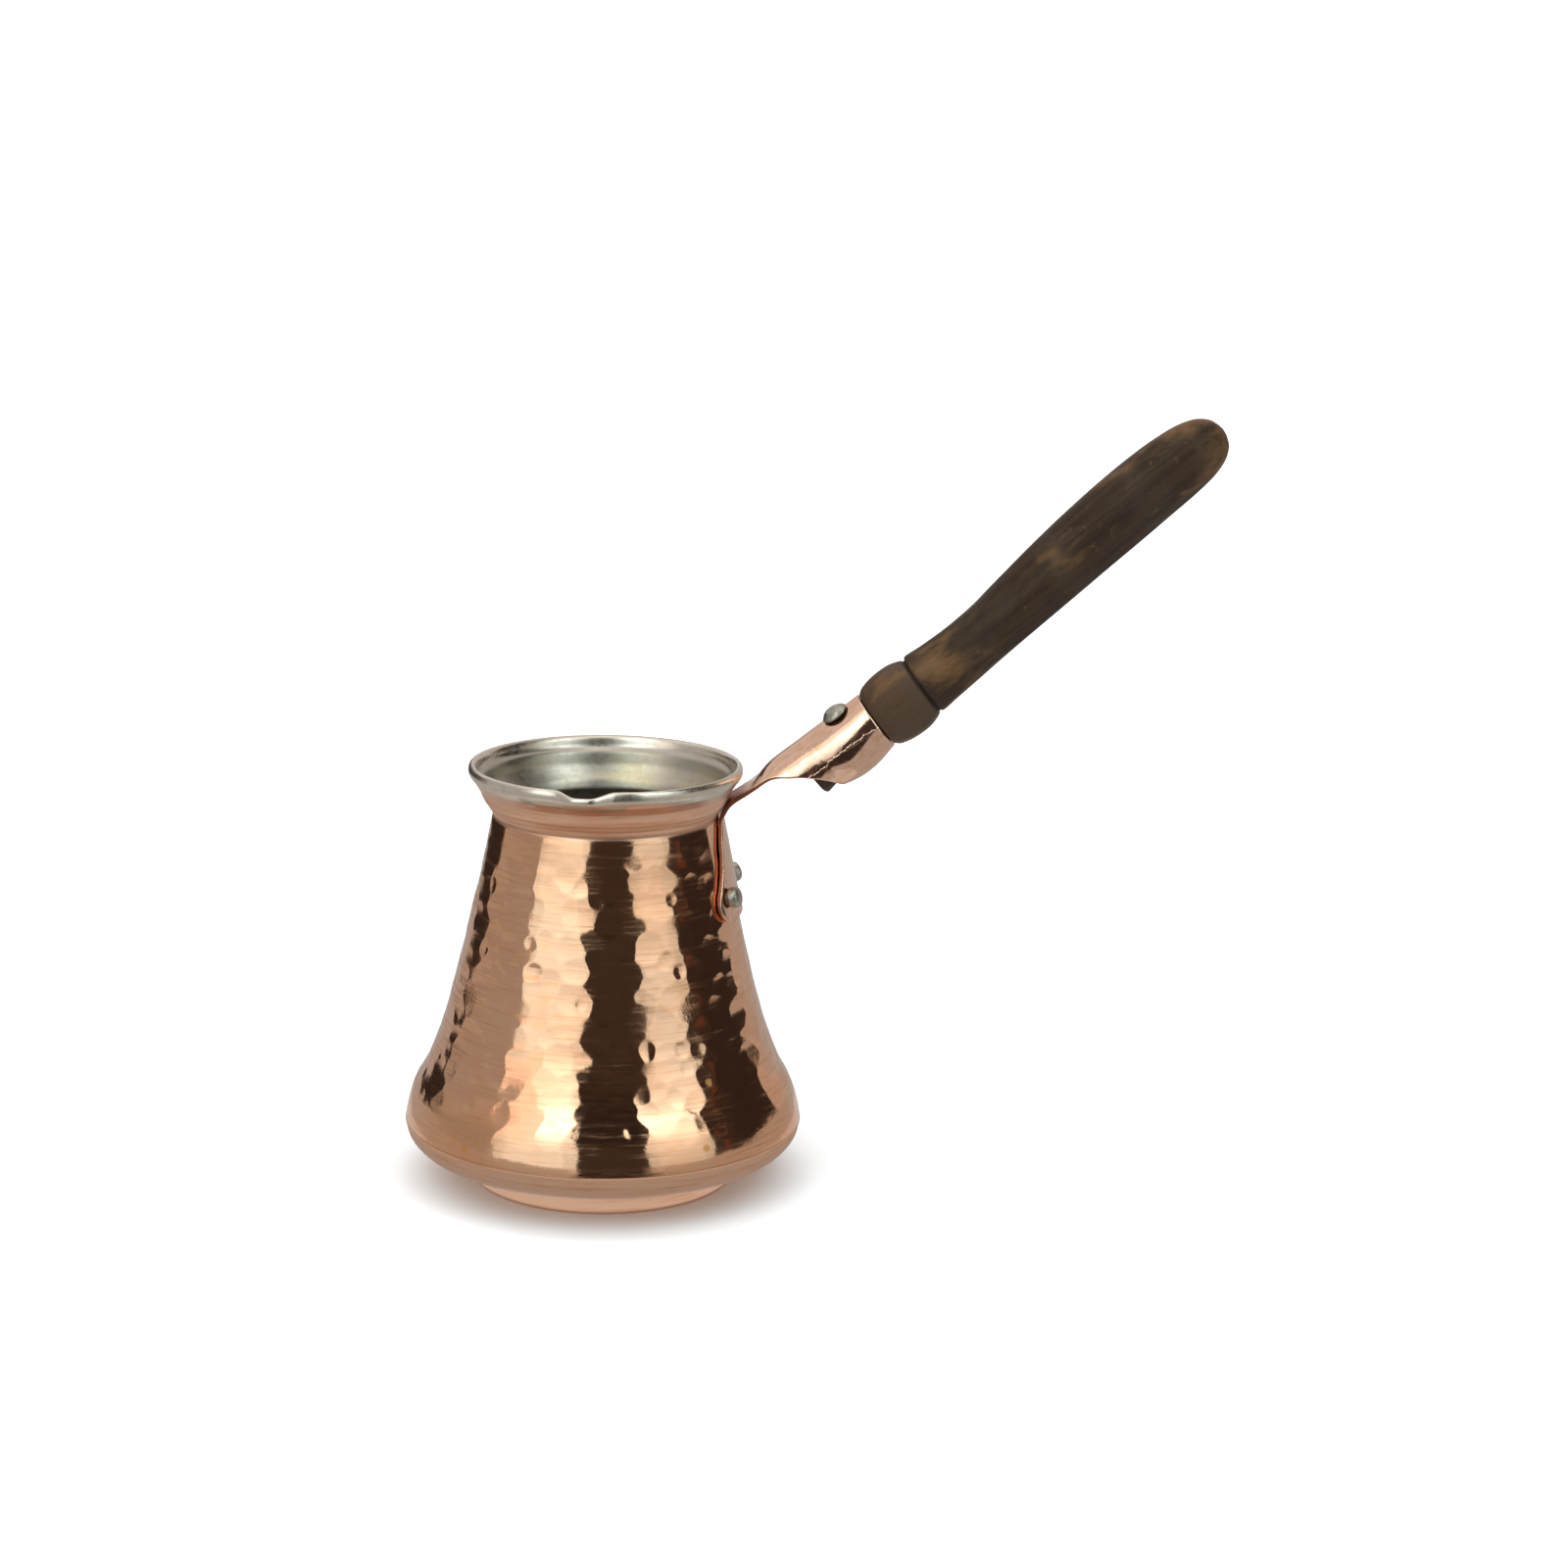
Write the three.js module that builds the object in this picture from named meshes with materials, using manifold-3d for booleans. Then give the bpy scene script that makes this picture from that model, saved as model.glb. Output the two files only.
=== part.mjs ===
// Hammered copper cezve: a bell-shaped pot lined with tin, a riveted copper bracket rolled into a
// socket, and a wooden handle. Millimetres, +Z up. The origin is the centre of the base, the
// handle points to +X and the pouring lip to -Y.
import * as THREE from 'three';
import * as BufferGeometryUtils from 'three/addons/utils/BufferGeometryUtils.js';
import Module from 'manifold-3d';

// ---------------------------------------------------------------- driving dimensions
const HEIGHT = 114.5;            // top of the tinned rim
const WALL = 1.4;                // copper wall
const TIN = 0.25;                // tin coat
const SKIN_GAP = 0.08;           // between copper and tin
const BAND_ROWS = 3;             // rows of the profile that the tin covers outside the rim
const FOOT_R = 35.4;             // flat base
// outer profile of the copper, radius and height: foot, bevel, bell, neck, flared rim
const SHELL = [
  [0, 0], [FOOT_R, 0], [37.0, 4.8], [38.7, 6.3], [43.5, 7.3], [49.6, 9.6], [52.8, 12.9],
  [53.8, 16.3], [53.35, 20.5], [51.6, 26.0], [47.9, 32.8], [43.7, 44.0], [39.9, 58.0],
  [36.2, 73.5], [32.6, 89.0], [30.15, 101.0], [30.7, 102.3], [31.6, 103.6], [32.6, 105.2],
  [33.3, 106.7], [33.7, 107.8], [34.3, 109.4], [35.5, 110.7], [36.2, 112.0], [36.3, 113.1],
];
const CREST = [35.7, 113.9];     // top edge of the copper

const LIP_FLAT = 2.5;            // degrees to each side that the pouring lip's bottom is level
const LIP_WIDTH = 12.5;          // degrees to each side where the lip runs out
const LIP_OUT = 2.6;             // how far the lip is pressed out
const LIP_DIP = 1.15;            // how far the lip drops
const LIP_DEPTH = 8.5;           // height of wall the lip uses
const LIP_AT = -97;              // degrees from the handle

const SHEET = 1.2;               // bracket sheet
// bracket plate: height, half width around the pot, gap to the pot
const PLATE = [
  [75.0, 15.6, 0.3], [75.6, 17.3, 0.3], [77.0, 18.5, 0.3], [79.2, 18.8, 0.3], [81.4, 18.0, 0.35],
  [83.6, 16.3, 0.4], [85.8, 14.6, 0.45], [88.2, 12.9, 0.5], [91.0, 11.3, 0.5], [94.0, 10.3, 0.5],
  [96.4, 8.9, 0.5], [98.4, 7.2, 0.5], [100.2, 6.2, 0.55],
];
// free part of the strap: x and z of its middle, curvature across it, half width
const BEND = [
  [31.85, 102.3, -0.012, 5.9], [32.75, 104.0, -0.006, 5.8], [34.3, 105.6, 0, 5.7],
  [36.5, 107.1, 0, 5.7], [39.5, 109.3, 0.01, 5.8], [41.2, 111.3, 0.045, 6.1],
];

const SLOPE = THREE.MathUtils.degToRad(38.2);   // handle above the horizontal
const MOUTH_X = 71.9;            // centre of the socket's mouth
const MOUTH_Z = 127.3;
const MOUTH_R = 7.7;             // sheet middle at the mouth
const CROWN_DROP = [0.5, 0.1];    // of the first rows, where the flat strap becomes a channel
const SEAM = 0.3;                // half the gap of the seam under the socket
// socket: distance along the handle from the mouth, radius of the sheet's middle, and how far
// round the sheet reaches to each side of the crown, in degrees
const SOCKET = [
  [-31.5, 11.5, 34], [-29.3, 8.9, 52], [-27.4, 8.1, 67], [-24.7, 7.95, 81], [-22.1, 7.9, 98],
  [-20.6, 7.9, 109], [-19.3, 7.9, 121], [-18.3, 7.95, 134], [-17.5, 8.0, 150], [-17.0, 8.0, 164],
  [-16.6, 8.05, 180],
  [-14.5, 8.3, 180], [-11.5, 8.5, 180], [-8, 8.5, 180], [-5, 8.3, 180], [-2.5, 8.0, 180],
  [-1, 7.8, 180], [0, MOUTH_R, 180],
];

const TENON_END = -22.4;         // end of the tenon, from the mouth
// tenon: distance, how far it sags into the open underside of the socket, gap to the sheet
const TENON = [
  [-21.8, 1.2, 0.55], [-20.4, 1.0, 0.65], [-18.6, 0.25, 0.75], [-16.6, 0, 0.65], [-14, 0, 0.5],
  [-11, 0, 0.4], [-8, 0, 0.4], [-5, 0, 0.4], [-2.5, 0, 0.4], [-0.9, 0, 0.4], [0, 0, 0.4],
];
// wooden handle beyond the mouth: distance, rise of its middle, radius
const GRIP = [
  [0.35, 0, 6.7], [0.35, 0, 8.1], [1.6, 0, 9.0], [3.4, 0, 9.6], [5.6, 0, 10.0], [8.4, 0, 10.15],
  [11, 0, 10.0], [13.1, 0, 9.45], [14.7, 0, 8.75], [15.0, 0.05, 8.25], [15.5, 0.1, 8.25],
  [15.9, 0.2, 8.8], [21, 0.3, 8.55], [28, 0.5, 8.2], [34, 0.9, 8.05], [40, 1.4, 8.1],
  [46, 2.1, 8.4], [54, 3.0, 8.8], [63, 4.0, 9.2], [73, 5.0, 9.5], [84, 5.9, 9.7], [95, 6.6, 9.6],
  [104, 6.9, 9.2], [110.5, 7.0, 8.3], [115, 7.0, 6.6], [117.6, 7.0, 4.2], [118.6, 7.0, 1.8],
];

const PLATE_RIVET_ANGLE = 21.4;  // degrees to each side of the plate's middle
const PLATE_RIVET_Z = 81.1;
const PLATE_RIVET_HEAD = 2.75;
const SOCKET_RIVET_AT = -7.6;    // from the mouth
const SOCKET_RIVET_TURN = 13;    // degrees from the top of the socket to -Y
const SOCKET_RIVET_HEAD = 3.7;
const RIVET_R = 1.6;             // shank
const RIVET_GAP = 0.25;

// ---------------------------------------------------------------- helpers
const wasm = await Module();
wasm.setup();

function indexed(points, faces) {
  const geometry = new THREE.BufferGeometry();
  geometry.setAttribute('position', new THREE.Float32BufferAttribute(points.flat(), 3));
  geometry.setIndex(faces.flat());
  return geometry;
}

function toSolid(geometry) {
  const bare = geometry.clone();
  bare.deleteAttribute('normal');
  bare.deleteAttribute('uv');
  const merged = BufferGeometryUtils.mergeVertices(bare, 1e-5);
  const corners = merged.index.array;
  const kept = [];
  for (let i = 0; i < corners.length; i += 3) {
    const [a, b, c] = [corners[i], corners[i + 1], corners[i + 2]];
    if (a !== b && b !== c && c !== a) kept.push(a, b, c);
  }
  const mesh = new wasm.Mesh({
    numProp: 3,
    vertProperties: new Float32Array(merged.attributes.position.array),
    triVerts: new Uint32Array(kept),
  });
  return new wasm.Manifold(mesh);
}

function toGeometry(solid) {
  const mesh = solid.getMesh();
  const geometry = new THREE.BufferGeometry();
  geometry.setAttribute('position', new THREE.BufferAttribute(mesh.vertProperties, 3));
  geometry.setIndex(new THREE.BufferAttribute(mesh.triVerts, 1));
  geometry.computeVertexNormals();
  return geometry;
}

function cut(geometry, tools) {
  return toGeometry(tools.reduce((solid, tool) => solid.subtract(toSolid(tool)), toSolid(geometry)));
}

// a strip of quads between two closed rings of vertex numbers, split along either diagonal
function bridge(faces, lower, upper, flip = false) {
  lower.forEach((a, i) => {
    const j = (i + 1) % lower.length;
    const [b, c, d] = [lower[j], upper[j], upper[i]];
    if (flip) faces.push([a, b, d], [b, c, d]);
    else faces.push([a, b, c], [a, c, d]);
  });
}

// miter offset of an open profile, positive towards the pot's inside
function offset(profile, distance) {
  return profile.map(([r, z], i) => {
    const before = profile[Math.max(i - 1, 0)];
    const after = profile[Math.min(i + 1, profile.length - 1)];
    const a = new THREE.Vector2(r - before[0], z - before[1]);
    const b = new THREE.Vector2(after[0] - r, after[1] - z);
    if (a.length() === 0) a.copy(b);
    if (b.length() === 0) b.copy(a);
    a.normalize();
    b.normalize();
    const middle = new THREE.Vector2(-a.y - b.y, a.x + b.x).normalize();
    const stretch = distance / Math.max(middle.dot(new THREE.Vector2(-a.y, a.x)), 0.6);
    return [i === 0 ? 0 : r + middle.x * stretch, z + middle.y * stretch];
  });
}

// angles around the pot, closer together at the pouring lip
const ANGLES = [];
for (let i = 0; i < 10; i += 1) ANGLES.push(LIP_AT - 16 + 3.2 * i);
for (let i = 0; i < 41; i += 1) ANGLES.push(LIP_AT + 16 + 8 * i);

function lipShift(r, z, angle) {
  const turn = THREE.MathUtils.euclideanModulo(angle - LIP_AT + 180, 360) - 180;
  const across = 1 - THREE.MathUtils.smoothstep(Math.abs(turn), LIP_FLAT, LIP_WIDTH);
  const up = THREE.MathUtils.smoothstep(z, HEIGHT - LIP_DEPTH, HEIGHT);
  return [r + LIP_OUT * across * up, z - LIP_DIP * across * up * up];
}

// a profile that starts and ends on the axis, turned about Z with the lip pressed into it
function turned(profile) {
  const points = [];
  const rings = profile.map(([r, z]) => {
    if (r === 0) {
      points.push([0, 0, z]);
      return ANGLES.map(() => points.length - 1);
    }
    return ANGLES.map((angle) => {
      const [rr, zz] = lipShift(r, z, angle);
      const turn = THREE.MathUtils.degToRad(angle);
      points.push([rr * Math.cos(turn), rr * Math.sin(turn), zz]);
      return points.length - 1;
    });
  });
  const faces = [];
  for (let i = 0; i + 1 < rings.length; i += 1) {
    const climb = profile[i + 1][1] - profile[i][1] + 0.37 * (profile[i + 1][0] - profile[i][0]);
    bridge(faces, rings[i], rings[i + 1], climb < 0);
  }
  return indexed(points, faces.filter(([a, b, c]) => a !== b && b !== c && a !== c));
}

function wallRadius(z) {
  const i = SHELL.findIndex((point) => point[1] > z);
  const [r0, z0] = SHELL[i - 1];
  const [r1, z1] = SHELL[i];
  return r0 + ((r1 - r0) * (z - z0)) / (z1 - z0);
}

// ---------------------------------------------------------------- pot and lining
const potProfile = [...SHELL, CREST, ...offset(SHELL, WALL).reverse()];
const inner = WALL + SKIN_GAP;
const band = (distance) => offset(SHELL, -distance).slice(-BAND_ROWS);

const liningProfile = [
  ...offset(SHELL, inner),
  [CREST[0], CREST[1] + SKIN_GAP + 0.05],
  ...band(SKIN_GAP).reverse(),
  ...band(SKIN_GAP + TIN),
  [CREST[0], HEIGHT],
  ...offset(SHELL, inner + TIN).reverse(),
];

// ---------------------------------------------------------------- handle frame
const along = new THREE.Vector3(Math.cos(SLOPE), 0, Math.sin(SLOPE));
const rise = new THREE.Vector3(-Math.sin(SLOPE), 0, Math.cos(SLOPE));
const side = new THREE.Vector3(0, 1, 0);
const mouth = new THREE.Vector3(MOUTH_X, 0, MOUTH_Z);

function onHandle(s, n) {
  return mouth.clone().addScaledVector(along, s).addScaledVector(rise, n);
}

function socketRadius(s) {
  const i = Math.max(SOCKET.findIndex((row) => row[0] >= s), 1);
  const [s0, r0] = SOCKET[i - 1];
  const [s1, r1] = SOCKET[i];
  return r0 + ((r1 - r0) * (s - s0)) / (s1 - s0);
}

// ---------------------------------------------------------------- bracket
// Each station of the sheet: middle point, direction its edges curl to, curvature, half width.
const stations = [];
for (const [z, half, gap] of PLATE) {
  const x = wallRadius(z) + gap + SHEET / 2;
  stations.push({ at: new THREE.Vector3(x, 0, z), curl: new THREE.Vector3(1, 0, 0), bend: -1 / x, half });
}
BEND.forEach(([x, z, bend, half], i) => {
  const at = new THREE.Vector3(x, 0, z);
  const start = onHandle(SOCKET[0][0], MOUTH_R - CROWN_DROP[0]);
  const [nextX, nextZ] = BEND[i + 1] || [start.x, start.z];
  const before = stations[stations.length - 1].at;
  const run = new THREE.Vector3(nextX - before.x, 0, nextZ - before.z).normalize();
  stations.push({ at, curl: new THREE.Vector3(run.z, 0, -run.x), bend, half });
});
SOCKET.forEach(([s, radius, wrap], i) => {
  const at = onHandle(s, MOUTH_R - (CROWN_DROP[i] || 0));
  const half = Math.min(THREE.MathUtils.degToRad(wrap) * radius, Math.PI * radius - SEAM);
  stations.push({ at, curl: rise.clone().negate(), bend: 1 / radius, half });
});

const ACROSS = 17;

function sheetRing(points, station, depth) {
  const row = [];
  for (let i = 0; i < ACROSS; i += 1) {
    const v = station.half * ((2 * i) / (ACROSS - 1) - 1);
    const turn = station.bend * v;
    const flat = Math.abs(station.bend) < 1e-6;
    const y = flat ? v : Math.sin(turn) / station.bend;
    const n = flat ? 0 : (1 - Math.cos(turn)) / station.bend;
    const point = station.at.clone().addScaledVector(side, y).addScaledVector(station.curl, n);
    point.addScaledVector(side, -Math.sin(turn) * depth);
    point.addScaledVector(station.curl, Math.cos(turn) * depth);
    points.push(point.toArray());
    row.push(points.length - 1);
  }
  return row;
}

function rolledSheet() {
  const points = [];
  const faces = [];
  // each loop runs along the inner face and back along the outer face
  const loops = stations.map((station) => [
    ...sheetRing(points, station, SHEET / 2),
    ...sheetRing(points, station, -SHEET / 2).reverse(),
  ]);
  for (let i = 0; i + 1 < loops.length; i += 1) bridge(faces, loops[i], loops[i + 1]);
  const first = loops[0];
  const last = loops[loops.length - 1];
  const count = first.length;
  for (let i = 0; i < ACROSS - 1; i += 1) {
    const j = count - 1 - i;
    faces.push([first[i], first[j], first[j - 1]], [first[i], first[j - 1], first[i + 1]]);
    faces.push([last[i], last[j - 1], last[j]], [last[i], last[i + 1], last[j - 1]]);
  }
  return indexed(points, faces);
}

// ---------------------------------------------------------------- wooden handle
const SIDES = 20;

function roundBar(rows) {
  const points = [];
  const rings = rows.map(([s, n, radius], i) => {
    const before = rows[Math.max(i - 1, 0)];
    const after = rows[Math.min(i + 1, rows.length - 1)];
    const tilt = s > 17 ? Math.atan2(after[1] - before[1], after[0] - before[0]) : 0;
    const across = rise.clone().multiplyScalar(Math.cos(tilt)).addScaledVector(along, -Math.sin(tilt));
    const centre = onHandle(s, n);
    const ring = [];
    for (let k = 0; k < SIDES; k += 1) {
      const turn = (2 * Math.PI * (k + 0.5)) / SIDES;
      const point = centre.clone().addScaledVector(across, radius * Math.cos(turn));
      point.addScaledVector(side, radius * Math.sin(turn));
      points.push(point.toArray());
      ring.push(points.length - 1);
    }
    return ring;
  });
  const faces = [];
  for (let i = 0; i + 1 < rings.length; i += 1) bridge(faces, rings[i + 1], rings[i]);
  const [first, last] = [rings[0], rings[rings.length - 1]];
  for (let k = 1; k + 1 < SIDES; k += 1) {
    faces.push([first[0], first[k], first[k + 1]], [last[0], last[k + 1], last[k]]);
  }
  return indexed(points, faces);
}

const tenon = TENON.map(([s, sag, gap]) => {
  const radius = socketRadius(s);
  return [s, MOUTH_R - radius - sag, radius - SHEET / 2 - gap];
});
const tip = [TENON_END, tenon[0][1], tenon[0][2] - 0.8];
const handleRows = [tip, ...tenon, ...GRIP];

// ---------------------------------------------------------------- rivets
// A turned profile standing along a direction, with its seat at a point.
function placed(geometry, at, direction) {
  const turn = new THREE.Quaternion().setFromUnitVectors(new THREE.Vector3(0, 1, 0), direction);
  return geometry.clone().applyQuaternion(turn).translate(at.x, at.y, at.z);
}

function pin(radius, from, to) {
  return new THREE.CylinderGeometry(radius, radius, to - from, 12).translate(0, (from + to) / 2, 0);
}

const plateGap = PLATE.find((row) => row[0] > PLATE_RIVET_Z)[2];

function plateRivetPose(turnDegrees) {
  const turn = THREE.MathUtils.degToRad(turnDegrees);
  const lean = Math.atan2(wallRadius(74) - wallRadius(88), 14);
  const out = new THREE.Vector3(Math.cos(lean), 0, Math.sin(lean));
  out.applyAxisAngle(new THREE.Vector3(0, 0, 1), turn);
  const r = wallRadius(PLATE_RIVET_Z) + plateGap + SHEET;
  return { at: new THREE.Vector3(r * Math.cos(turn), r * Math.sin(turn), PLATE_RIVET_Z), out };
}

const headSeat = 0.3;            // head above the plate's middle line
const tailSeat = -(SHEET + plateGap + WALL + SKIN_GAP + TIN + 0.3);
const plateRivet = new THREE.LatheGeometry([
  [0, tailSeat - 0.9], [1.5, tailSeat - 0.75], [2.5, tailSeat - 0.1], [2.5, tailSeat],
  [RIVET_R, tailSeat], [RIVET_R, headSeat], [PLATE_RIVET_HEAD - 0.15, headSeat],
  [PLATE_RIVET_HEAD, headSeat + 1.6], [2.2, headSeat + 2.4], [0, headSeat + 2.75],
].map(([r, y]) => new THREE.Vector2(r, y)), 14);

const socketTurn = THREE.MathUtils.degToRad(SOCKET_RIVET_TURN);
const socketOut = rise.clone().multiplyScalar(Math.cos(socketTurn));
socketOut.addScaledVector(side, -Math.sin(socketTurn));
const socketMiddle = onHandle(SOCKET_RIVET_AT, MOUTH_R - socketRadius(SOCKET_RIVET_AT));
const socketSeat = socketMiddle.addScaledVector(socketOut, socketRadius(SOCKET_RIVET_AT) + SHEET / 2);
const PIN_LENGTH = 11.5;
const socketRivet = new THREE.LatheGeometry([
  [0, -PIN_LENGTH], [RIVET_R, -PIN_LENGTH + 2.0], [RIVET_R, 0.3], [SOCKET_RIVET_HEAD, 0.3],
  [SOCKET_RIVET_HEAD, 0.7], [2.3, 1.8], [0, 2.2],
].map(([r, y]) => new THREE.Vector2(r, y)), 14);

const front = plateRivetPose(-PLATE_RIVET_ANGLE);
const back = plateRivetPose(PLATE_RIVET_ANGLE);
const plateHole = pin(RIVET_R + RIVET_GAP, -8, 3);
const socketHole = pin(RIVET_R + RIVET_GAP, -PIN_LENGTH - 0.4, 3);
const plateHoles = [placed(plateHole, front.at, front.out), placed(plateHole, back.at, back.out)];
const socketHoles = [placed(socketHole, socketSeat, socketOut)];

// ---------------------------------------------------------------- the assembly
const LOOKS = {
  copper: { color: 0xc98a68, roughness: 0.25, metalness: 1.0 },
  tin: { color: 0xa8a596, roughness: 0.4, metalness: 0.9 },
  walnut: { color: 0x4b3c30, roughness: 0.7, metalness: 0.0 },
  steel: { color: 0x86867f, roughness: 0.45, metalness: 0.9 },
};

const cezve = new THREE.Group();
cezve.name = 'cezve';

function add(name, geometry, look) {
  const mesh = new THREE.Mesh(geometry, new THREE.MeshStandardMaterial(LOOKS[look]));
  mesh.name = name;
  cezve.add(mesh);
}

add('pot_body', cut(turned(potProfile), plateHoles), 'copper');
add('tin_lining', cut(turned(liningProfile), plateHoles), 'tin');
add('handle_bracket', cut(rolledSheet(), [...plateHoles, ...socketHoles]), 'copper');
add('wooden_handle', cut(roundBar(handleRows), socketHoles), 'walnut');
add('plate_rivet_front', toGeometry(toSolid(placed(plateRivet, front.at, front.out))), 'steel');
add('plate_rivet_back', toGeometry(toSolid(placed(plateRivet, back.at, back.out))), 'steel');
add('socket_rivet', toGeometry(toSolid(placed(socketRivet, socketSeat, socketOut))), 'steel');

export default cezve;
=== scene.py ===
import math

import bpy
import numpy as np
from mathutils import Matrix, Vector


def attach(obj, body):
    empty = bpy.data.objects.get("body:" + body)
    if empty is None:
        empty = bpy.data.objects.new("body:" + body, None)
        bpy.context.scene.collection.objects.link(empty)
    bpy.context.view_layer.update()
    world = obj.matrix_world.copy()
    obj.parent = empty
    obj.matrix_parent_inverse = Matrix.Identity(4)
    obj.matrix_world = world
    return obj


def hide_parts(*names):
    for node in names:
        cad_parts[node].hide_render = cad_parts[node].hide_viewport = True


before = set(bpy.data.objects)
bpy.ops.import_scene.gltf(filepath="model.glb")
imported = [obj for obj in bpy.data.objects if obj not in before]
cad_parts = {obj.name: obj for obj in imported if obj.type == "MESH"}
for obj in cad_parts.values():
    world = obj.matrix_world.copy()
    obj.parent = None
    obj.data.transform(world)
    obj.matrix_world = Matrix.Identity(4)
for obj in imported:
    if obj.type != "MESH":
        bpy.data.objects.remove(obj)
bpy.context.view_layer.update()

MM = 0.001
rng = np.random.default_rng(7)

# ------------------------------------------------------------------ sizes in millimetres
HEIGHT = 114.5
WALL = 1.4
TIN = 0.25
SKIN_GAP = 0.08
# outer profile of the copper, radius and height, from the foot's edge to the rim
CREASE = (53.8, 16.3)
NECK = (30.15, 101.0)
SHELL = [
    (35.4, 0.0), (37.0, 4.8), (38.7, 6.3), (43.5, 7.3), (49.6, 9.6), (52.8, 12.9), CREASE,
    (53.05, 20.5), (51.5, 26.0), (47.9, 32.8), (43.7, 44.0), (39.9, 58.0), (36.2, 73.5),
    (32.6, 89.0), NECK, (30.7, 102.3), (31.6, 103.6), (32.6, 105.2), (33.3, 106.7),
    (33.7, 107.8), (34.2, 109.5), (35.4, 110.6), (36.2, 112.0), (36.3, 113.1),
]
FOOT_ROUND = [(34.6, 0.0), (35.15, 0.12), (35.45, 0.5)]
LIP_FLAT, LIP_WIDTH = 2.5, 12.5
LIP_OUT = 2.6
LIP_DIP = 1.15
LIP_DEPTH = 8.5
LIP_AT = -97.0
POT_COLUMNS = 540
TIN_COLUMNS = 360
WOOD_COLUMNS = 96
RIVET_COLUMNS = 48

SHEET = 1.2
SHEET_WAVE = 0.008
SHEET_CORNER = 0.4
# points across each face of the sheet and around each of its rounded edges
FACE_POINTS, EDGE_POINTS = 61, 5
# plate: height, half width around the pot, gap to the pot
PLATE = [
    (75.0, 15.6, 0.3), (75.6, 17.3, 0.3), (77.0, 18.5, 0.3), (79.2, 18.8, 0.3),
    (81.4, 18.0, 0.35), (83.6, 16.3, 0.4), (85.8, 14.6, 0.45), (88.2, 12.9, 0.5),
    (91.0, 11.3, 0.5), (94.0, 10.3, 0.5), (96.4, 8.9, 0.5), (98.4, 7.2, 0.5), (100.2, 6.2, 0.55),
]
# free part of the strap: x and z of its middle, curvature across it, half width
BEND = [
    (31.85, 102.3, -0.012, 5.9), (32.75, 104.0, -0.006, 5.8), (34.3, 105.6, 0.0, 5.7),
    (36.5, 107.1, 0.0, 5.7), (39.5, 109.3, 0.01, 5.8), (41.2, 111.3, 0.045, 6.1),
]
SLOPE = math.radians(38.2)
MOUTH = Vector((71.9, 0.0, 127.3))
MOUTH_R = 7.7
SEAM = 0.3
SCORE_ACROSS = 12.4
# socket: distance from the mouth, drop of the crown, radius, how far round each side, degrees
SOCKET = [
    (-31.5, 0.5, 11.5, 34), (-29.3, 0.1, 8.9, 52), (-27.4, 0, 8.1, 67), (-24.7, 0, 7.95, 81),
    (-22.1, 0, 7.9, 98), (-20.6, 0, 7.9, 109), (-19.3, 0, 7.9, 121), (-18.3, 0, 7.95, 134),
    (-17.5, 0, 8.0, 150), (-17.0, 0, 8.0, 164), (-16.6, 0, 8.05, 180), (-14.5, 0, 8.3, 180),
    (-11.5, 0, 8.5, 180), (-8, 0, 8.5, 180), (-5, 0, 8.3, 180), (-2.5, 0, 8.0, 180),
    (-1, 0, 7.8, 180), (0, 0, 7.7, 180),
]
# tenon and grip of the wooden handle: distance from the mouth, rise of the middle, radius
TENON = [(-22.4, -1.45, 5.8), (-21.8, -1.4, 6.55), (-19.5, -1.0, 6.6), (-16.6, -0.4, 6.75),
         (-11.5, -0.8, 7.4), (-5, -0.6, 7.3), (-0.6, 0.0, 6.7)]
GRIP = [
    (0.35, 0, 6.7), (0.35, 0, 8.1), (1.6, 0, 9.0), (3.4, 0, 9.6), (5.6, 0, 10.0), (8.4, 0, 10.15),
    (11, 0, 10.0), (13.1, 0, 9.45), (14.7, 0, 8.75), (15.0, 0.05, 8.25), (15.5, 0.1, 8.25),
    (15.9, 0.2, 8.8), (21, 0.3, 8.55), (28, 0.5, 8.2), (34, 0.9, 8.05), (40, 1.4, 8.1),
    (46, 2.1, 8.4), (54, 3.0, 8.8), (63, 4.0, 9.2), (73, 5.0, 9.5), (84, 5.9, 9.7),
    (95, 6.6, 9.6), (104, 6.9, 9.2), (110.5, 7.0, 8.3), (115, 7.0, 6.6), (117.6, 7.0, 4.2),
    (118.6, 7.0, 1.8),
]
PLATE_RIVET_ANGLE = 21.4
PLATE_RIVET_Z = 81.1
RIVET_SHANK = 1.6
SOCKET_RIVET_AT = -7.6
SOCKET_RIVET_TURN = math.radians(13)

# hammer marks: spacing up the wall and around it, and the heights where they start and stop
ROW_PITCH = 4.8
MARK_PITCH = 5.9
MARKS_FROM, MARKS_FULL = 19.0, 30.0
MARKS_FADE, MARKS_TO = 89.0, 100.0
MARK_LENGTH, MARK_HEIGHT = 4.2, 4.0
MARKS_PER_DEEP_BLOW = 8


# ------------------------------------------------------------------ shapes
def smooth(value, low, high):
    t = np.clip((value - low) / (high - low), 0.0, 1.0)
    return t * t * (3 - 2 * t)


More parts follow.
